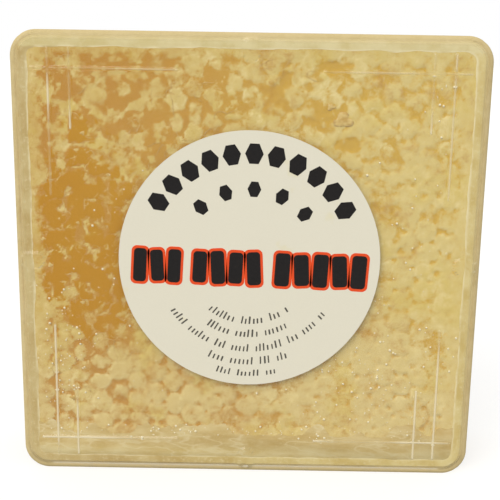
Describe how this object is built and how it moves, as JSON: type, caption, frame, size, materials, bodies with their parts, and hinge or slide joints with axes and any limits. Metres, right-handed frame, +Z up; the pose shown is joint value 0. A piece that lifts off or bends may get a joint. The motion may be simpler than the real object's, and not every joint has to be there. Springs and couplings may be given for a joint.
{
  "type": "comb honey pack",
  "caption": "Slab of capped honeycomb in a shut, clear plastic box with a round paper label on its lid.",
  "frame": {"origin": "middle of the footprint, on the surface that the box stands on", "axes": "+Z up the standing box, -Y out of the lid and its label, +X to the right of someone facing the lid"},
  "size_m": [0.11, 0.03, 0.107],
  "materials": {
    "clear_plastic": "clear glossy polystyrene",
    "capped_wax": "cream wax cappings over amber honey",
    "honey": "clear amber",
    "label_paper": "uncoated cream paper"
  },
  "bodies": {
    "root": {"box_base": "clear_plastic", "box_lid": "clear_plastic", "comb": "capped_wax", "honey": "honey", "label": "label_paper"}
  },
  "joints": []
}
